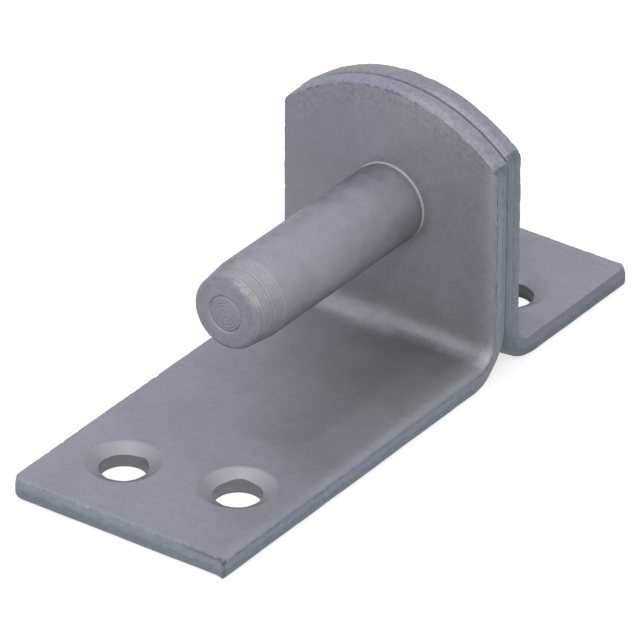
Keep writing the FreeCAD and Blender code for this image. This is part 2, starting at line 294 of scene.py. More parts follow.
def plate_wave(blank, place):
    """How far the rolled plate waves. It lies flat under the pin's shoulder and on its outer skin."""
    flat = place * (1, 1, 0)
    wave = 0.035 * wander(flat, 15.0, blank.seed) + 0.012 * wander(flat, 5.0, blank.seed)
    off_shoulder = smooth(8.5, 12.0, np.hypot(place[:, 0], place[:, 1] - pin_place))
    return wave * off_shoulder * np.clip(place[:, 2] / plate, 0.0, 1.0)


# The marks of wear and stain, and the painted light and shade, lie where the photographed strap has them.
# Their places are x and q.


def right_edge_highlight(x, q, on_leaf):
    """A painted highlight: paler along the right edge, and palest just before the bend."""
    off_rim = smooth(half_width - 0.7, half_width - 1.7, x)
    before_bend = smooth(-12.0, -5.0, q) * smooth(0.5, -1.5, q)
    in_bend = smooth(-1.2, 1.2, q) * smooth(13.0, 9.0, q) * off_rim
    paled = 0.15 + 0.19 * smooth(-56.0, -46.0, q) + 0.22 * before_bend - 0.26 * in_bend
    return (paled - 0.08 * on_leaf) * near(x, half_width - 1.0, 1.3)


def plate_stain_and_shade(place, on_base):
    """The base plate's stain and painted shade: darker towards the right and the bend, in the pin's shadow
    right of it and at the bend's foot, with a painted paler streak of light under the pin and a few cloudy
    patches, darker and paler.
    """
    x, q = place[:, 0], place[:, 1]
    # Painted shade: darker towards the right near the bend, right of the pin in its shadow, and at the
    # bend's foot.
    to_right = smooth(-78.0, -42.0, q) * (0.20 * smooth(-22.0, 14.0, x) - 0.07)
    right_of_pin = smooth(-26.0, -8.0, q) * smooth(0.0, 8.0, x) * smooth(20.0, 17.0, x)
    bend_foot = near(q, -2.5, 4.5) * smooth(-12.0, 2.0, x) * smooth(20.5, 17.0, x)
    left_cloud = patch(place, -16.0, -44.0, 7.0, 9.0)
    right_cloud = patch(place, 16.0, -15.0, 5.0, 8.0)
    # Painted light: a paler streak under the pin.
    under_pin = patch(place, -1.0, -30.0, 4.0, 14.0)
    under_tip = patch(place, 8.0, -49.0, 6.0, 5.0)
    foot_gap = patch(place, 12.0, -3.0, 6.0, 3.0)
    left_corner = patch(place, -24.0, -70.0, 4.0, 12.0)
    darker = on_base * (to_right + 0.07 * right_of_pin) + 0.22 * bend_foot
    darker += 0.08 * left_cloud + 0.07 * right_cloud
    return darker - 0.09 * under_pin - 0.11 * under_tip - 0.09 * foot_gap - 0.07 * left_corner


def bend_light_and_shade(place):
    """The bend's painted shade and light: a dark band at its foot and a fainter one above, with painted
    highlights in the pale gaps between.
    """
    x, q = place[:, 0], place[:, 1]
    lower_band = smooth(-2.0, 2.0, q) * smooth(4.9, 4.2, q) * smooth(1.0, 4.0, x)
    upper_band = near(q, 8.3, 1.8) * (0.07 * smooth(0.0, 3.0, x) + 0.10 * smooth(12.0, 16.0, x))
    left_gap = near(q, 4.0, 1.3) * smooth(2.0, -8.0, x)
    right_gap = patch(place, 19.2, 3.6, 1.4, 1.2)
    darker = 0.30 * lower_band * (1.0 - 0.6 * smooth(18.0, 21.5, x)) + upper_band
    darker += 0.08 * patch(place, 0.0, 5.5, 5.0, 2.5) + 0.09 * patch(place, 15.0, 2.0, 2.0, 1.2)
    return darker - 0.13 * left_gap - 0.14 * right_gap


def leaf_light_and_shade(x, q, on_leaf):
    """The leaf's painted shade, darker at its top left and towards its foot, and its painted light, paler
    right of the pin.
    """
    top_left = smooth(24.0, 38.0, q) * smooth(14.0, -4.0, x)
    over_bend = near(q, 11.5, 3.5) * smooth(16.0, 10.0, x)
    ring = near(np.hypot(x, q - pin_place), 10.5, 2.4) * smooth(-6.0, 4.0, x)
    lower_half, left_side = smooth(34.0, 26.0, q), smooth(-2.0, -12.0, x)
    stain_and_shade = on_leaf * (0.05 * lower_half + 0.09 * over_bend + 0.04 * left_side)
    return stain_and_shade + 0.15 * top_left - 0.09 * ring


def wall_tone(blank, place, on_leaf, inner):
    """Paler on the free end's torn zone and on the crown's wall, and a painted highlight beside the seam on
    the rear strap's rolled rim.
    """
    x, q, depth = place.T
    torn_zone, cut_zone = smooth(2.4, 3.2, depth), smooth(3.0, 2.2, depth)
    end = torn_zone * (0.04 + 0.05 * smooth(8.0, -2.0, x)) + cut_zone * (0.05 * smooth(6.0, 14.0, x) - 0.02)
    on_crown = smooth(crown_foot - 0.5, crown_foot + 0.5, q)
    seam_rim_highlight = (1.0 - blank.stain_and_shade_strength) * near(depth, 0.9, 0.7)
    leaf = on_leaf * smooth(2.0, 12.0, x) * (1.0 - inner) * (0.08 * on_crown + 0.27 * seam_rim_highlight)
    return leaf + end * (q < blank.free_end + 1.5)


def shaded_tone(blank, place, on_leaf):
    """How dark it is where little light gets in: in the seam between the leaves and at the foot of
    the base plate, and on the front strap also in the scoop, the right corner and under the lip."""
    x, q, depth = place.T
    seam = on_leaf * smooth(0.35, 0.1, depth) * (0.8 + 0.6 * wander(place, 2.0, blank.seed + 41))
    plate_foot = 0.12 + 0.13 * blank.stain_and_shade_strength + 0.25 * smooth(-5.0, 0.0, q)
    foot = smooth(0.9, 0.1, depth) * (plate_foot * (1.0 - on_leaf) + 0.12 * on_leaf)
    scoop = near(q, crown_foot - 0.55, 0.8) * np.clip(x - half_width + 1.4, 0.0, 1.0)
    scoop *= smooth(1.6, 3.2, depth)
    corner = patch(place, half_width, blank.free_end + blank.end_trim[1], 0.35, 0.35)
    corner *= smooth(0.6, 1.2, depth) * smooth(plate, 0.85 * plate, depth)
    under_lip = near(depth, 3.6, 0.28) * smooth(13.0, 19.0, x) * (q < blank.free_end + 1.5)
    return 0.32 * seam + foot + blank.stain_and_shade_strength * (0.35 * scoop + 0.30 * corner + 0.45 * under_lip)


def tone_marks(blank, place):
    """How much lighter or darker the plating is at each point, from stains and from painted light and
    shade, and how cool and how warm the painted light on it is.
    """
    x, q, depth = place.T
    inner = smooth(0.8 * plate, plate, depth)
    on_base, on_leaf = smooth(3.0, -3.0, q), smooth(bend_run - 1.0, bend_run + 3.0, q)
    stain_and_shade = plate_stain_and_shade(place, on_base) + bend_light_and_shade(place) + leaf_light_and_shade(x, q, on_leaf)
    # Painted highlight across the middle of the bend.
    bend_highlight = 0.10 * near(q, 5.8, 2.2)
    tone = inner * (bend_highlight + blank.stain_and_shade_strength * (right_edge_highlight(x, q, on_leaf) - stain_and_shade))
    # Painted shade on the outer skin and walls round the foot of the bend.
    tone -= 0.12 * blank.stain_and_shade_strength * (1.0 - inner) * near(q, -2.0, 6.0)
    tone += wall_tone(blank, place, on_leaf, inner) - shaded_tone(blank, place, on_leaf)
    # A painted cast of light: cooler on the leaf's top left and the base plate's left, warmer on the base
    # plate near the bend and round the bend.
    cool = on_leaf * smooth(10.0, -6.0, x) * smooth(27.0, 40.0, q)
    cool += 0.4 * on_base * smooth(8.0, -8.0, x) * smooth(-12.0, -26.0, q) * smooth(-60.0, -48.0, q)
    warm = on_base * smooth(-46.0, -16.0, q) * smooth(-18.0, -8.0, x) + 0.6 * near(q, 8.0, 6.0)
    return tone, blank.stain_and_shade_strength * cool, blank.stain_and_shade_strength * warm * inner


def fold(place, toward):
    """Folds flat points (x, q, depth) to where they are in the row frame, in metres."""
    x, q, depth = place.T
    angle = np.clip(q / bend_run, 0.0, 1.0) * 0.5 * pi
    y = outer_bend - (outer_bend - depth) * np.sin(angle) - np.minimum(q, 0.0)
    z = outer_bend - (outer_bend - depth) * np.cos(angle) + np.maximum(q - bend_run, 0.0)
    return np.column_stack((x, joint_y + toward * y, z)) * MM


def ring_faces(first, count, rings):
    """The faces between rings of this many points each, the first ring starting at point first."""
    faces = []
    for ring in range(rings - 1):
        low, high = first + ring * count, first + (ring + 1) * count
        faces += [(low + i, low + (i + 1) % count, high + (i + 1) % count, high + i) for i in range(count)]
    return faces


def skin_faces(points, border, holes, depth):
    """Fills a skin between its border and the rims of its holes, and adds the points that it needs.
    They stand in staggered rows, which are closer in the bend, and keep clear of border and rims."""
    spread = np.array([points[i][:2] for i in border])
    low, high = spread.min(axis=0), spread.max(axis=0)
    clear = crown_radius - skin_reach - 0.9
    rows = list(np.arange(low[1] + 1.0, -0.3, skin_step))
    rows += list(np.arange(0.0, bend_run + 0.1, bend_step))
    rows += list(np.arange(bend_run + 1.0, high[1] - 0.5, skin_step))
    inside = []
    for index, q in enumerate(rows):
        for x in np.arange(low[0] + 0.8 + 0.6 * (index % 2), high[0] - 0.6, skin_step):
            if q > crown_centre and x * x + (q - crown_centre) ** 2 > clear * clear:
                continue
            if min((x - cx) ** 2 + (q - cq) ** 2 - (r + 0.7) ** 2 for cx, cq, r, _ in holes) < 0:
                continue
            if np.min((spread[:, 0] - x) ** 2 + (spread[:, 1] - q) ** 2) > 0.5:
                inside.append((float(x), float(q), depth))
    first = len(points)
    points.extend(inside)
    used = list(border) + [i for *_, rim in holes for i in rim] + list(range(first, len(points)))
    loops = [list(range(len(border)))]
    start = len(border)
    for *_, rim in holes:
        loops.append(list(range(start, start + len(rim))))
        start += len(rim)
    edges = [(loop[i], loop[(i + 1) % len(loop)]) for loop in loops for i in range(len(loop))]
    flat = [Vector(points[i][:2]) for i in used]
    _, _, found, origin, _, _ = geometry.delaunay_2d_cdt(flat, edges, [], 1, 1e-7)
    inside_rim = cos(pi / 48)
    faces = []
    for face in found:
        corners = [used[origin[i][0]] for i in face]
        x, q = np.mean([points[i][:2] for i in corners], axis=0)
        if all((x - cx) ** 2 + (q - cq) ** 2 > (r * inside_rim) ** 2 for cx, cq, r, _ in holes):
            faces.append(corners)
    return faces


def edge_marks(blank, rings, kinds, edge):
    """How much each point of the edge is sheared wall, torn lip and crown, how dented or flecked its
    lip is, and how far round the rim it lies, measured along a ring in the middle of the wall."""
    around, count = len(kinds), len(rings)
    wall = [max(0.0, 1.0 - 2.2 * inset) * (depth > 0.2) for inset, depth in rings]
    wall_of_kind = np.select([kinds == "end", kinds == "crown"], [0.75, 0.1], 1.0)
    lip = np.repeat([max(0.0, 1.0 - 1.1 * (inset + plate - depth)) for inset, depth in rings], around)
    on_crown = np.tile(kinds == "crown", count).astype(float)
    on_end = np.tile(kinds == "end", count).astype(float)
    on_right = smooth(1.0, 9.0, edge[:, :, 0].ravel())
    middle_ring = 14
    middle = edge[middle_ring]
    steps = np.linalg.norm(np.diff(middle, axis=0, append=middle[:1]), axis=1)
    return {
        "wall": np.repeat(wall, around) * np.tile(wall_of_kind, count),
        "lip": lip,
        "crown": on_crown,
        "dented": lip * (on_crown * (1.0 - on_right) + on_end * (1.0 - blank.stain_and_shade_strength)),
        "flecked": lip * (on_end + on_crown * on_right),
        "along": np.tile(np.cumsum(steps), count),
    }


def plan_holes(blank):
    """The two screw holes, countersunk from the inner skin, and the pin's bore."""
    holes = [SimpleNamespace(x=x, q=blank.free_end + inset, sunk=True) for x, inset in blank.screws]
    for hole, chip in zip(holes, blank.chips):
        hole.rings, hole.chip = screw_hole_rings(blank.bore_foot), chip
    pin_bore = SimpleNamespace(x=0.0, q=pin_place, sunk=False, rings=bore_rings(), chip=(0.0, 0.0))
    return holes + [pin_bore]


def drill_hole(blank, hole, index):
    """A hole's points, ring by ring, with a torn and chipped rim round its bore. With them come how bare
    its countersink is, barest on its far wall as a painted highlight, how much painted light and shade it
    has, and which points are in the bore."""
    angle = np.linspace(0.0, 2 * pi, hole_points, endpoint=False)
    bore, sink = 0.5 * screw_hole, 0.5 * screw_sink
    seat = plate - (sink - bore) * sink_slope
    chip_place, chip_size = hole.chip
    chipped = chip_size * near(angle, chip_place, 0.35)
    # Bare steel in the countersink, palest on its far wall as a painted highlight.
    bare_and_lit_side = 0.3 + 0.7 * smooth(0.1, 0.8, np.sin(angle - 0.4))
    lit_side = 0.15 * np.cos(angle - 2.9) + 0.07 * index - 0.09
    made, machined, tone, bored = [], [], [], []
    for radius, depth in hole.rings:
        x, q = hole.x + radius * np.cos(angle), hole.q + radius * np.sin(angle)
        ring = np.column_stack((x, q, np.full(hole_points, depth)))
        at_rim = (radius < bore + 0.15) * (0.1 < depth < plate - 0.2)
        torn = 0.14 * wander(ring, 1.4, blank.seed + index) + chipped * smooth(0.3, seat, depth)
        ring[:, 0] += at_rim * torn * np.cos(angle)
        ring[:, 1] += at_rim * torn * np.sin(angle)
        ring[:, 2] += at_rim * chipped * sink_slope * (depth > seat - 0.2)
        in_bore = float(radius < bore + 0.04)
        in_sink = smooth(sink + 0.3, sink - 0.5, radius) * (depth > 0.1) * hole.sunk
        made.append(ring)
        machined.append(blank.bare_sink * in_sink * bare_and_lit_side)
        # Painted light and shade round the countersink, and painted shade in the bore.
        tone.append(blank.stain_and_shade_strength * in_sink * lit_side - blank.bore_shade * in_bore)
        bored.append(np.full(hole_points, in_bore))
    return [np.concatenate(part) for part in (made, machined, tone, bored)]


def strap_mesh(name, blank):
    """The whole strap as a mesh, with what the plating's material has to know about each point."""
    rings = edge_rings()
    edge, kinds = roughen_edge(blank, rings)
    around = len(kinds)
    points = [tuple(p) for ring in edge for p in ring]
    on_edge = len(points)
    faces = ring_faces(0, around, len(rings))
    tops, bottoms, of_holes = [], [], []
    for index, hole in enumerate(plan_holes(blank)):
        made, *of_hole = drill_hole(blank, hole, index)
        first = len(points)
        points += [tuple(p) for p in made]
        last = len(points) - hole_points
        faces += ring_faces(first, hole_points, len(hole.rings))
        tops.append((hole.x, hole.q, hole.rings[0][0], range(first, first + hole_points)))
        bottoms.append((hole.x, hole.q, hole.rings[-1][0], range(last, last + hole_points)))
        of_holes.append(of_hole)
    faces += skin_faces(points, range(around), bottoms, 0.0)
    faces += skin_faces(points, range(on_edge - around, on_edge), tops, plate)
    place = np.array(points)
    place[:, 2] += plate_wave(blank, place)

    def padded(values, first):
        return np.pad(values, (first, len(place) - first - len(values)))

    machined, sink_tone, bored = [padded(np.concatenate(part), on_edge) for part in zip(*of_holes)]
    of_edge = edge_marks(blank, rings, kinds, edge)
    marks = {known: padded(values, 0) for known, values in of_edge.items()}
    tone, cool, warm = tone_marks(blank, place)
    tone -= blank.dull_wall * marks["wall"]
    marks.update(tone=tone * (1.0 - machined) + sink_tone, cool=cool, warm=warm)
    marks.update(machined=machined, bored=bored, depth=np.clip(place[:, 2] / plate, 0.0, 1.0))
    return solid_piece(name, fold(upset_bend(place), blank.toward), faces, marks)


def solid_piece(name, points, faces, marks):
    """A mesh object whose points carry the marks, smooth apart from edges of more than 55 degrees."""
    mesh = bpy.data.meshes.new(name)
    mesh.from_pydata([tuple(p) for p in points], [], faces)
    for known, values in marks.items():
        attribute = mesh.attributes.new(known, "FLOAT", "POINT")
        attribute.data.foreach_set("value", np.asarray(values, np.float32))
    built = bmesh.new()
    built.from_mesh(mesh)
    bmesh.ops.recalc_face_normals(built, faces=built.faces)
    built.to_mesh(mesh)
    built.free()
    mesh.polygons.foreach_set("use_smooth", [True] * len(mesh.polygons))
    mesh.set_sharp_from_angle(angle=radians(55))
    piece = bpy.data.objects.new(name, mesh)
    bpy.context.scene.collection.objects.link(piece)
    return piece


# The plating. Dull zinc with faint clouds and a fine grain, bluer where the blank was sheared, and rubbed
# pale along the torn lip. Its tone and casts also carry painted light and shade.


def grey(red, green, blue):
    """A colour given as it looks on a screen, 0 to 255, as the shader wants it."""
    return tuple(((c / 255 + 0.055) / 1.055) ** 2.4 for c in (red, green, blue)) + (1.0,)


dark_zinc = grey(141, 144, 147)
light_zinc = grey(147, 150, 153)
cut_wall = grey(108, 118, 129)
torn_wall = grey(124, 131, 140)
bare_steel = grey(161, 162, 162)
bore_wall = grey(118, 121, 124)
rubbed_lip = grey(176, 178, 182)
dark_dent = grey(78, 82, 88)
# Casts of painted light, cooler and warmer.
cool_cast = (0.975, 1.0, 1.055, 1.0)
warm_cast = (1.0, 1.0, 0.945, 1.0)
dullness = 0.46


def join(tree, value, socket):
    """Links a node's output to the socket, or sets a plain number or colour on it."""
    if isinstance(value, bpy.types.NodeSocket):
        tree.links.new(value, socket)
    else:
        socket.default_value = value


def new_metal(name, metallic, specular):
    material = bpy.data.materials.new(name)
    material.use_nodes = True
    tree = material.node_tree
    shader = tree.nodes["Principled BSDF"]
    shader.inputs["Metallic"].default_value = metallic
    shader.inputs["Specular IOR Level"].default_value = specular
    return material, tree, shader


def place_in_mm(tree, stretch=(1.0, 1.0, 1.0)):
    """The place on the object in millimetres, stretched where a pattern runs one way."""
    where = tree.nodes.new("ShaderNodeTexCoord")
    scale = tree.nodes.new("ShaderNodeVectorMath")
    scale.operation = "MULTIPLY"
    tree.links.new(where.outputs["Object"], scale.inputs[0])
    scale.inputs[1].default_value = [s / MM for s in stretch]
    return scale.outputs[0]


def speckle(tree, where, size, detail, roughness=0.55):
    """Noise from about -1 to 1 that varies over this many millimetres."""
    texture = tree.nodes.new("ShaderNodeTexNoise")
    tree.links.new(where, texture.inputs["Vector"])
    texture.inputs["Scale"].default_value = 1.0 / size
    texture.inputs["Detail"].default_value = detail
    texture.inputs["Roughness"].default_value = roughness
    return ramp(tree, texture.outputs["Fac"], (0.3, 0.7), (-1.0, 1.0))


def ramp(tree, value, start, end):
    """The value carried from one range to another, softly where the new range starts at 0 or above."""
    node = tree.nodes.new("ShaderNodeMapRange")
    node.interpolation_type = "SMOOTHSTEP" if end[0] >= 0 else "LINEAR"
    tree.links.new(value, node.inputs["Value"])
    for socket, number in zip(("From Min", "From Max", "To Min", "To Max"), (*start, *end)):
        node.inputs[socket].default_value = number
    return node.outputs["Result"]


def sums(tree, operation, first, second, third=0.0):
    node = tree.nodes.new("ShaderNodeMath")
    node.operation = operation
    for socket, value in zip(node.inputs, (first, second, third)):
        join(tree, value, socket)
    return node.outputs[0]


def blend_colours(tree, share, first, second, way="MIX"):
    node = tree.nodes.new("ShaderNodeMix")
    node.data_type = "RGBA"
    node.blend_type = way
    join(tree, share, node.inputs["Factor"])
    join(tree, first, node.inputs[6])
    join(tree, second, node.inputs[7])
    return node.outputs[2]


def shade_by(tree, colour, amount):
    """The colour times one plus amount."""
    node = tree.nodes.new("ShaderNodeVectorMath")
    node.operation = "SCALE"
    join(tree, colour, node.inputs[0])
    join(tree, sums(tree, "ADD", amount, 1.0), node.inputs["Scale"])
    return node.outputs[0]


def mark(tree, name):
    """What the mesh's points carry under this name."""
    node = tree.nodes.new("ShaderNodeAttribute")
    node.attribute_name = name
    return node.outputs["Fac"]


def painted_grazing_shade(tree, colour, strength):
    """The colour with painted shade, darker where the surface turns away from the eye, as on a rounded
    edge.
    """
    facing = tree.nodes.new("ShaderNodeLayerWeight").outputs["Facing"]
    turned_away = ramp(tree, facing, (0.65, 0.98), (0, 1))
    return shade_by(tree, colour, sums(tree, "MULTIPLY", turned_away, -strength))


def relief(tree, height, distance, strength, under=None):
    """A bump of this height in millimetres, on top of another one where under is given."""
    bump = tree.nodes.new("ShaderNodeBump")
    bump.inputs["Strength"].default_value = strength
    bump.inputs["Distance"].default_value = distance * MM
    tree.links.new(height, bump.inputs["Height"])
    if under is not None:
        tree.links.new(under, bump.inputs["Normal"])
    return bump.outputs["Normal"]


def plating(name, cloud_size):
    """Skin, sheared wall and bare countersinks, then the marks of wear and the painted light and shade,
    then roughness and bump.
    """
    material, tree, shader = new_metal(name, 0.35, 0.4)
    where = place_in_mm(tree)
    clouds = speckle(tree, where, cloud_size, 2.0)
    blotches = speckle(tree, where, 2.6, 4.0, 0.6)
    mottle = speckle(tree, where, 1.1, 2.0, 0.6)
    grain = speckle(tree, where, 0.42, 2.0, 0.7)
    skin = blend_colours(tree, ramp(tree, clouds, (-1, 1), (0, 1)), dark_zinc, light_zinc)
    # The painted casts of light, cooler in some places and warmer in others.
    skin = blend_colours(tree, mark(tree, "cool"), skin, cool_cast, "MULTIPLY")
    skin = blend_colours(tree, mark(tree, "warm"), skin, warm_cast, "MULTIPLY")
    tint = sums(tree, "MULTIPLY_ADD", blotches, 0.03, sums(tree, "MULTIPLY", grain, 0.06))
    tint = sums(tree, "MULTIPLY_ADD", mottle, 0.045, tint)
    crown_band = sums(tree, "MULTIPLY", mark(tree, "crown"), sums(tree, "ADD", mottle, grain))
    skin = shade_by(tree, skin, sums(tree, "MULTIPLY_ADD", crown_band, 0.07, tint))

    sheared = tree.nodes.new("ShaderNodeCombineXYZ")
    join(tree, sums(tree, "MULTIPLY", mark(tree, "along"), 0.4), sheared.inputs[0])
    join(tree, sums(tree, "MULTIPLY", mark(tree, "depth"), 7.0), sheared.inputs[1])
    streaks = speckle(tree, sheared.outputs[0], 1.0, 3.0, 0.6)
    border = sums(tree, "MULTIPLY_ADD", blotches, 0.12, mark(tree, "depth"))
    torn_share = ramp(tree, border, (0.48, 0.60), (0, 1))
    wall = blend_colours(tree, torn_share, cut_wall, torn_wall)
    rough_wall = sums(tree, "MULTIPLY_ADD", streaks, 0.10, sums(tree, "MULTIPLY", grain, 0.12))
    wall = shade_by(tree, wall, sums(tree, "MULTIPLY_ADD", mottle, 0.06, rough_wall))
    base = blend_colours(tree, mark(tree, "wall"), skin, wall)

    # Bare steel in the countersinks, palest on their far walls as a painted highlight.
    cut = shade_by(tree, bare_steel[:3], sums(tree, "MULTIPLY", grain, 0.05))
    base = blend_colours(tree, mark(tree, "machined"), base, cut)
    base = blend_colours(tree, sums(tree, "MULTIPLY", mark(tree, "bored"), 0.9), base, bore_wall)
    # The tone carries the stains and the painted light and shade.
    base = shade_by(tree, base, mark(tree, "tone"))
    flecks = sums(tree, "MULTIPLY_ADD", blotches, 0.3, sums(tree, "MULTIPLY", grain, 0.35))
    paled = ramp(tree, sums(tree, "ADD", flecks, mark(tree, "flecked")), (0.92, 1.15), (0, 1))
    base = blend_colours(tree, sums(tree, "MULTIPLY", paled, 0.6), base, rubbed_lip)
    pitted = ramp(tree, sums(tree, "SUBTRACT", mark(tree, "lip"), flecks), (1.15, 1.4), (0, 1))
    dented = ramp(tree, sums(tree, "SUBTRACT", mark(tree, "dented"), flecks), (0.75, 1.05), (0, 1))
    dark = sums(tree, "MAXIMUM", pitted, dented)
    base = blend_colours(tree, sums(tree, "MULTIPLY", dark, 0.6), base, dark_dent)
    # Painted shade where the surface turns away from the eye.
    join(tree, painted_grazing_shade(tree, base, 0.45), shader.inputs["Base Color"])

    rough = sums(tree, "MULTIPLY_ADD", clouds, 0.03, dullness)
    rough = sums(tree, "MULTIPLY_ADD", grain, 0.05, rough)
    join(tree, sums(tree, "MULTIPLY_ADD", mark(tree, "wall"), -0.06, rough), shader.inputs["Roughness"])
    fine = relief(tree, grain, 0.02, 0.7)
    rub = sums(tree, "MULTIPLY", streaks, mark(tree, "wall"))
    join(tree, relief(tree, rub, 0.02, 0.5, fine), shader.inputs["Normal"])
    return material


front_strap = strap_mesh("front_strap", front_blank)
front_strap.data.materials.append(plating("front_plating", 14.0))
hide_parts("front_bracket")
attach(front_strap, "root")


# Rear bracket. The short strap behind it, of the same plate and made the same way, with its leaf
# back to back against the front one and its screw holes staggered the other way round.

rear_low, rear_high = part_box("rear_bracket")
rear_blank = SimpleNamespace(
    toward=1,
    free_end=outer_bend - (rear_high.y - rear_low.y) / MM,
    screws=((-11.0, 15.5), (11.0, 20.5)),
    plate_corners=((3.0, 1.6), (2.2, 1.5)),
    crown_corners=((3.0, 3.4), (2.6, 3.2)),
    end_trim=(0.0, 0.1),
    left_trim=(0.1, 0.0, 0.0, 0.1),
    crown_trim=(0.25, -0.12, -0.06),
    end_lean=0.05,
    right_lean=0.0,
    crown_lean=0.05,
    droop=0.0,
    ragged=0.8,
    scoop=(0.18, 3.4, 1.8),
    stain_and_shade_strength=0.0,
    dull_wall=0.21,
    bare_sink=0.4,
    bore_foot=-0.4,
    bore_shade=0.25,
    chips=((0.0, 0.0), (0.0, 0.0)),
    seed=8.0,
)
rear_strap = strap_mesh("rear_strap", rear_blank)
rear_strap.data.materials.append(plating("rear_plating", 16.0))
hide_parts("rear_bracket")
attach(rear_strap, "root")


# Pin. Turned from 16 mm round bar, with a tapered lead, a faced end and a relief at its shoulder,
# then plated. Its spigot goes through both leaves and is riveted over behind them as a low head.

pin_low, pin_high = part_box("pin")
pin_reach = joint_y - pin_low.y / MM
pin_radius = 8.0
taper_length = 7.1
tip_radius = 7.28
tip_round = 1.1
turning_pitch = 0.7
turning_depth = 0.07
taper_step = 0.06
facing_rings = (3.5, 2.85, 2.2, 1.5, 0.8)
relief_length = 1.2
relief_depth = 0.2
root_lip = 0.22
root_flare = 0.12
spigot_radius = 6.0
head_radius = (pin_high.x - pin_low.x) / 2 / MM
head_rim = 0.8
head_height = 3.0
pin_around = 160


def lathe_groove(place):
    """How deep the lathe's groove is at a place along the taper, from 0 to 1."""
    turn = 2 * pi * (place - taper_length + pin_reach) / turning_pitch + 1.1 * np.sin(2.3 * place)
    return (0.5 + 0.5 * np.cos(turn)) ** 1.5


def pin_profile():
    """Place along the pin, counted from the joint plane, and radius, from the tip's middle back."""
    profile = []
    for radius in np.linspace(0.0, tip_radius - tip_round, 90):
        fine_rings = sum(near(radius, ring, 0.15) for ring in facing_rings[1:])
        deep_ring = near(radius, facing_rings[0], 0.24)
        profile.append((0.07 * fine_rings + 0.22 * deep_ring - pin_reach, radius))
    for turn in np.linspace(0.0, 0.5 * pi, 14)[1:]:
        place = tip_round * (1 - cos(turn)) - pin_reach
        profile.append((place, tip_radius + tip_round * (sin(turn) - 1)))
    start, end = tip_round - pin_reach, taper_length - pin_reach
    for place in np.arange(start + taper_step, end, taper_step):
        share = (place - start) / (end - start)
        cone = tip_radius + (pin_radius - tip_radius) * share
        profile.append((place, cone - turning_depth * lathe_groove(place)))
    waist = -plate - root_lip
    profile += [(place, pin_radius) for place in np.linspace(end, waist - relief_length, 60)]
    for share in np.linspace(0.0, 1.0, 8)[1:]:
        profile.append((waist - relief_length * (1 - share), pin_radius - relief_depth * share))
    for share in np.linspace(0.0, 1.0, 6)[1:]:
        flare = (relief_depth + root_flare) * share
        profile.append((waist + root_lip * share, pin_radius - relief_depth + flare))
    profile += [(-plate, spigot_radius + 0.1), (0.1 - plate, spigot_radius), (plate - 0.1, spigot_radius)]
    profile += [(plate, spigot_radius + 0.1), (plate, head_radius - 0.15), (plate + 0.15, head_radius)]
    profile.append((plate + head_rim - 0.2, head_radius))
    rise = head_height - head_rim
    dome = (head_radius**2 + rise**2) / (2 * rise)
    for radius in np.linspace(head_radius - 0.1, 0.0, 30):
        profile.append((plate + head_height - dome + sqrt(dome**2 - radius**2), radius))
    return profile


def pin_marks(place, radius, from_tip):
    """What the finish has to know about each point. Facing is the angle from the pin's top, positive
    towards the right, and the marks lie round the pin where the photographed one has them. Most of them are
    painted light and shade: the lit flank, the shaded lower sides and left flank, the leaf's shade near the
    root, the taper's lit side and the shade in its grooves, the glint and the shaded rim at the faced end,
    and the highlight on the root's lip."""
    facing = np.arctan2(place[:, 0], place[:, 2])
    on_shank = (place[:, 1] < 0.0).astype(float)
    on_face, off_middle = from_tip < 1.0, radius > 5.0
    # Painted shade on the left flank, whose blotches are also stronger, on the lower sides and on the top
    # near the leaf; painted light on the flank facing the lamps.
    left_flank = on_shank * smooth(0.2, -0.5, facing) * smooth(-3.1, -2.0, facing)
    leaf_shade = smooth(-plate - 13.0, -plate - 4.0, place[:, 1]) * smooth(1.5, 0.1, np.abs(facing + 0.1))
    flank_light_and_shade = 0.12 * near(facing, 0.65, 0.5) - 0.18 * smooth(1.0, 1.6, np.abs(facing))
    # Painted shade on the faced end's rounded rim, and a painted glint on its outer ring.
    rim = off_middle * near(from_tip, 0.5, 0.45) * (0.3 + 0.7 * smooth(0.6, -0.2, facing))
    glint = on_face * near(radius, facing_rings[0] + 0.28, 0.16) * smooth(0.2, 0.9, np.cos(facing + 2.48))
    lit_taper = smooth(-0.5, 0.1, facing) * (1.0 - 0.7 * smooth(0.9, 1.4, facing))
    lit_grooves = smooth(-0.3, 0.4, facing) * smooth(2.0, 1.5, facing)
    return {
        "tone": on_shank * (flank_light_and_shade - 0.19 * left_flank - 0.17 * leaf_shade) - 0.04,
        "left_flank": left_flank,
        "face_glint_and_shade": 0.22 * glint - 0.12 * rim,
        "face": smooth(1.5, 0.5, from_tip),
        # Painted highlight: the turned taper's colour only on its lit side, and painted shade in its
        # grooves there.
        "turned_and_lit_taper": smooth(taper_length + 0.5, taper_length - 0.2, from_tip) * lit_taper,
        "groove_shade": lathe_groove(place[:, 1]) * (from_tip < taper_length) * lit_grooves,
        # Painted highlight on the lip at the pin's root.
        "root": near(place[:, 1], -plate - 0.15, 0.2) * (radius > pin_radius - 0.25),
        "scuffed": off_middle * near(from_tip, 1.1, 1.0) * near(facing, 0.7, 0.75),
    }


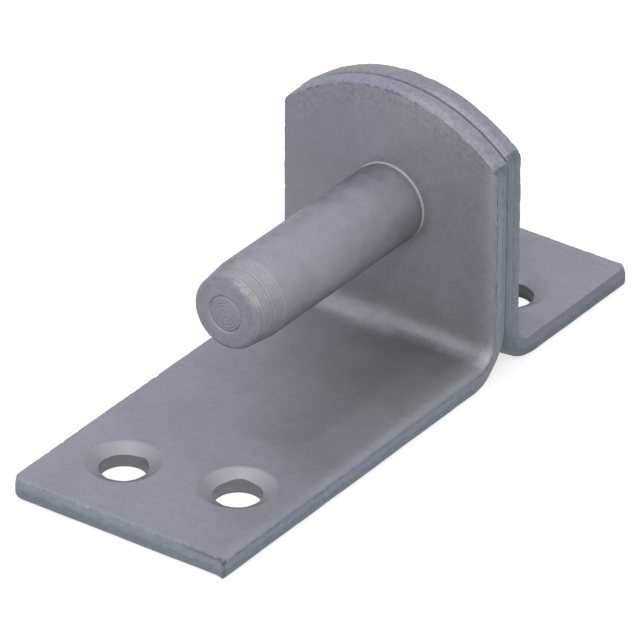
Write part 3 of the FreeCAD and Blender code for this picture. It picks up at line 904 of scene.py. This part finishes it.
def pin_mesh(name):
    """The pin's profile turned round its axis, a little out of true, with an unevenly faced end and
    a hammered head."""
    profile = pin_profile()
    points = [(0.0, profile[0][0], 0.0)]
    angle = np.linspace(0.0, 2 * pi, pin_around, endpoint=False)
    for place, radius in profile[1:-1]:
        points += [(radius * sin(a), place, radius * cos(a)) for a in angle]
    points.append((0.0, profile[-1][0], 0.0))
    last = len(points) - 1
    faces = ring_faces(1, pin_around, len(profile) - 2)
    faces += [(0, 1 + (i + 1) % pin_around, 1 + i) for i in range(pin_around)]
    back = last - pin_around
    faces += [(last, back + i, back + (i + 1) % pin_around) for i in range(pin_around)]
    place = np.array(points)
    radius = np.hypot(place[:, 0], place[:, 2])
    sway = 0.025 * wander(place, 9.0, 4.0) + 0.012 * wander(place, 3.0, 5.0)
    sway *= smooth(2.0, 6.0, radius) * (place[:, 1] < -plate - root_lip - relief_length)
    place[:, [0, 2]] *= (1.0 + np.minimum(sway - 0.01, 0.0) / np.maximum(radius, 1.0))[:, None]
    hammered = 0.12 * wander(place, 2.2, 9.0) * smooth(plate + 0.5, plate + head_height, place[:, 1])
    place[:, 1] -= np.abs(hammered)
    from_tip = place[:, 1] + pin_reach
    ring_depth = np.clip(0.7 + 1.3 * wander(place, 2.6, 12.0), 0.1, 1.6)
    in_fine_rings = (radius < 3.1) & (from_tip < 1.0)
    place[:, 1] -= np.where(in_fine_rings, from_tip * (1.0 - ring_depth), 0.0)
    marks = pin_marks(place, radius, from_tip)
    place += (0.0, joint_y, pin_height)
    return solid_piece(name, place * MM, faces, marks)


dark_bar = grey(145, 149, 153)
light_bar = grey(154, 157, 161)
# The turned taper's colour, laid only on its lit side as a painted highlight.
turned_taper = grey(168, 168, 170)
faced_end = grey(140, 143, 151)
scuffed_bar = grey(186, 183, 180)
root_lip_highlight = grey(178, 177, 176)


def bar_finish(name):
    """Bright drawn bar under thin zinc, with the lathe's marks on its taper and its faced end, and painted
    light and shade laid by the marks round the pin.
    """
    material, tree, shader = new_metal(name, 0.35, 0.4)
    where = place_in_mm(tree)
    clouds = speckle(tree, where, 9.0, 2.0)
    blotches = speckle(tree, where, 2.0, 4.0, 0.6)
    grain = speckle(tree, where, 0.4, 2.0, 0.7)
    drawn = speckle(tree, place_in_mm(tree, (1.6, 0.12, 1.6)), 1.0, 2.0)
    base = blend_colours(tree, ramp(tree, clouds, (-1, 1), (0, 1)), dark_bar, light_bar)
    # Painted highlight: the turned taper's paler colour on its lit side.
    base = blend_colours(tree, sums(tree, "MULTIPLY", mark(tree, "turned_and_lit_taper"), 0.7), base, turned_taper)
    tint = sums(tree, "MULTIPLY_ADD", blotches, 0.055, sums(tree, "MULTIPLY", grain, 0.05))
    tint = sums(tree, "ADD", mark(tree, "tone"), sums(tree, "MULTIPLY_ADD", drawn, 0.02, tint))
    # Painted shade in the lathe's grooves on the taper's lit side.
    tint = sums(tree, "MULTIPLY_ADD", mark(tree, "groove_shade"), -0.2, tint)
    stronger = sums(tree, "MULTIPLY", blotches, mark(tree, "left_flank"))
    tint = sums(tree, "MULTIPLY_ADD", stronger, 0.12, tint)
    uneven = sums(tree, "MULTIPLY_ADD", blotches, 0.11, sums(tree, "MULTIPLY", grain, 0.10))
    face = shade_by(tree, faced_end[:3], uneven)
    base = blend_colours(tree, mark(tree, "face"), shade_by(tree, base, tint), face)
    # Painted glint and painted shade at the faced end.
    base = shade_by(tree, base, mark(tree, "face_glint_and_shade"))
    patchy = sums(tree, "MULTIPLY_ADD", blotches, 0.35, sums(tree, "MULTIPLY", grain, 0.25))
    worn = ramp(tree, sums(tree, "ADD", patchy, mark(tree, "scuffed")), (0.58, 1.05), (0, 1))
    base = blend_colours(tree, sums(tree, "MULTIPLY", worn, 0.7), base, scuffed_bar)
    # Painted highlight on the lip at the pin's root.
    base = blend_colours(tree, sums(tree, "MULTIPLY", mark(tree, "root"), 0.8), base, root_lip_highlight)
    # Painted shade where the surface turns away from the eye.
    join(tree, painted_grazing_shade(tree, base, 0.25), shader.inputs["Base Color"])
    rough = sums(tree, "MULTIPLY_ADD", blotches, 0.04, dullness)
    join(tree, sums(tree, "MULTIPLY_ADD", worn, -0.12, rough), shader.inputs["Roughness"])
    fine = relief(tree, grain, 0.015, 0.7)
    join(tree, relief(tree, blotches, 0.04, 0.4, fine), shader.inputs["Normal"])
    return material


hinge_pin = pin_mesh("hinge_pin")
hinge_pin.data.materials.append(bar_finish("pin_plating"))
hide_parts("pin")
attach(hinge_pin, "root")


# Studio. The object stands on a plain white floor in a white room, with one soft lamp above the
# camera and one almost overhead, and the camera looks at it from where the photographer stood.

floor_size = 3.0
floor_drop = 0.00005
floor_colour = 0.38
floor_white = 0.74
room_strength = 0.80
room_warm = (0.99, 1.0, 0.99, 1.0)
room_cool = (1.01, 0.99, 1.15, 1.0)
cool_turn = -125.0
cool_rise = 32.0
glow_rise = 15.0
glow_strength = 0.4
glow_narrowness = 4.0
lamp_distance = 1.5

# Each lamp's name, turn and rise in degrees, width in metres, power in watts and colour.

lamps = (
    ("camera_lamp", 33.0, 48.0, 0.22, 3.6, (1.0, 0.99, 0.96)),
    ("top_lamp", -39.0, 75.5, 0.12, 2.3, (0.94, 0.98, 1.07)),
)
camera_turn = 35.927
camera_rise = 30.777
camera_roll = 0.043
camera_distance = 1.356
camera_lens = 404.4
aim = Vector((-0.01305, 0.01610, 0.00232))


def heading(turn, rise):
    """From the object towards a point round to the right by turn and up by rise, in degrees."""
    a, e = radians(turn), radians(rise)
    return Vector((sin(a) * cos(e), -cos(a) * cos(e), sin(e)))


floor_mesh = bpy.data.meshes.new("floor")
reach = floor_size / 2
floor_mesh.from_pydata(
    [(x, y, -floor_drop) for x, y in ((-reach, -reach), (reach, -reach), (reach, reach), (-reach, reach))],
    [],
    [(0, 1, 2, 3)],
)
floor = bpy.data.objects.new("floor", floor_mesh)
bpy.context.scene.collection.objects.link(floor)
floor_paint = bpy.data.materials.new("floor_paint")
floor_paint.use_nodes = True
floor_tree = floor_paint.node_tree
floor_shader = floor_tree.nodes["Principled BSDF"]
floor_shader.inputs["Base Color"].default_value = (floor_colour, floor_colour, floor_colour, 1.0)
floor_shader.inputs["Roughness"].default_value = 0.9
floor_shader.inputs["Specular IOR Level"].default_value = 0.0
floor_shader.inputs["Emission Color"].default_value = (1.0, 1.0, 1.0, 1.0)
ray = floor_tree.nodes.new("ShaderNodeLightPath").outputs
seen = sums(floor_tree, "MAXIMUM", ray["Is Camera Ray"], ray["Is Glossy Ray"])
seen = sums(floor_tree, "MAXIMUM", seen, ray["Is Transmission Ray"])
join(floor_tree, sums(floor_tree, "MULTIPLY", seen, floor_white), floor_shader.inputs["Emission Strength"])
floor_mesh.materials.append(floor_paint)

room = bpy.data.worlds.new("room")
room.use_nodes = True
bpy.context.scene.world = room
room_tree = room.node_tree
room_light = room_tree.nodes["Background"]
room_place = room_tree.nodes.new("ShaderNodeTexCoord")


def room_side(point):
    """From -1 to 1, how far a place in the room lies on the side of this heading."""
    node = room_tree.nodes.new("ShaderNodeVectorMath")
    node.operation = "DOT_PRODUCT"
    room_tree.links.new(room_place.outputs["Generated"], node.inputs[0])
    node.inputs[1].default_value = point
    return node.outputs["Value"]


in_front = sums(room_tree, "MAXIMUM", room_side(heading(0.0, glow_rise)), 0.0)
glow = sums(room_tree, "POWER", in_front, glow_narrowness)
glow = sums(room_tree, "MULTIPLY_ADD", glow, glow_strength, room_strength)
join(room_tree, glow, room_light.inputs["Strength"])
cool_share = ramp(room_tree, room_side(heading(cool_turn, cool_rise)), (-0.6, 0.6), (0, 1))
join(room_tree, blend_colours(room_tree, cool_share, room_warm, room_cool), room_light.inputs["Color"])

for name, turn, rise, width, power, colour in lamps:
    lamp_data = bpy.data.lights.new(name, "AREA")
    lamp_data.shape = "SQUARE"
    lamp_data.size = width
    lamp_data.energy = power
    lamp_data.color = colour
    lamp = bpy.data.objects.new(name, lamp_data)
    lamp_way = heading(turn, rise)
    lamp.location = lamp_way * lamp_distance
    lamp.rotation_euler = lamp_way.to_track_quat("Z", "Y").to_euler()
    bpy.context.scene.collection.objects.link(lamp)

camera_data = bpy.data.cameras.new("camera")
camera_data.lens = camera_lens
camera_data.sensor_width = 36.0
camera_data.clip_end = 10.0
camera = bpy.data.objects.new("camera", camera_data)
camera_way = heading(camera_turn, camera_rise)
camera.location = aim + camera_way * camera_distance
level = camera_way.to_track_quat("Z", "Y").to_matrix()
camera.rotation_euler = (level @ Matrix.Rotation(radians(camera_roll), 3, "Z")).to_euler()
bpy.context.scene.collection.objects.link(camera)
bpy.context.scene.camera = camera
bpy.context.scene.view_settings.view_transform = "Standard"
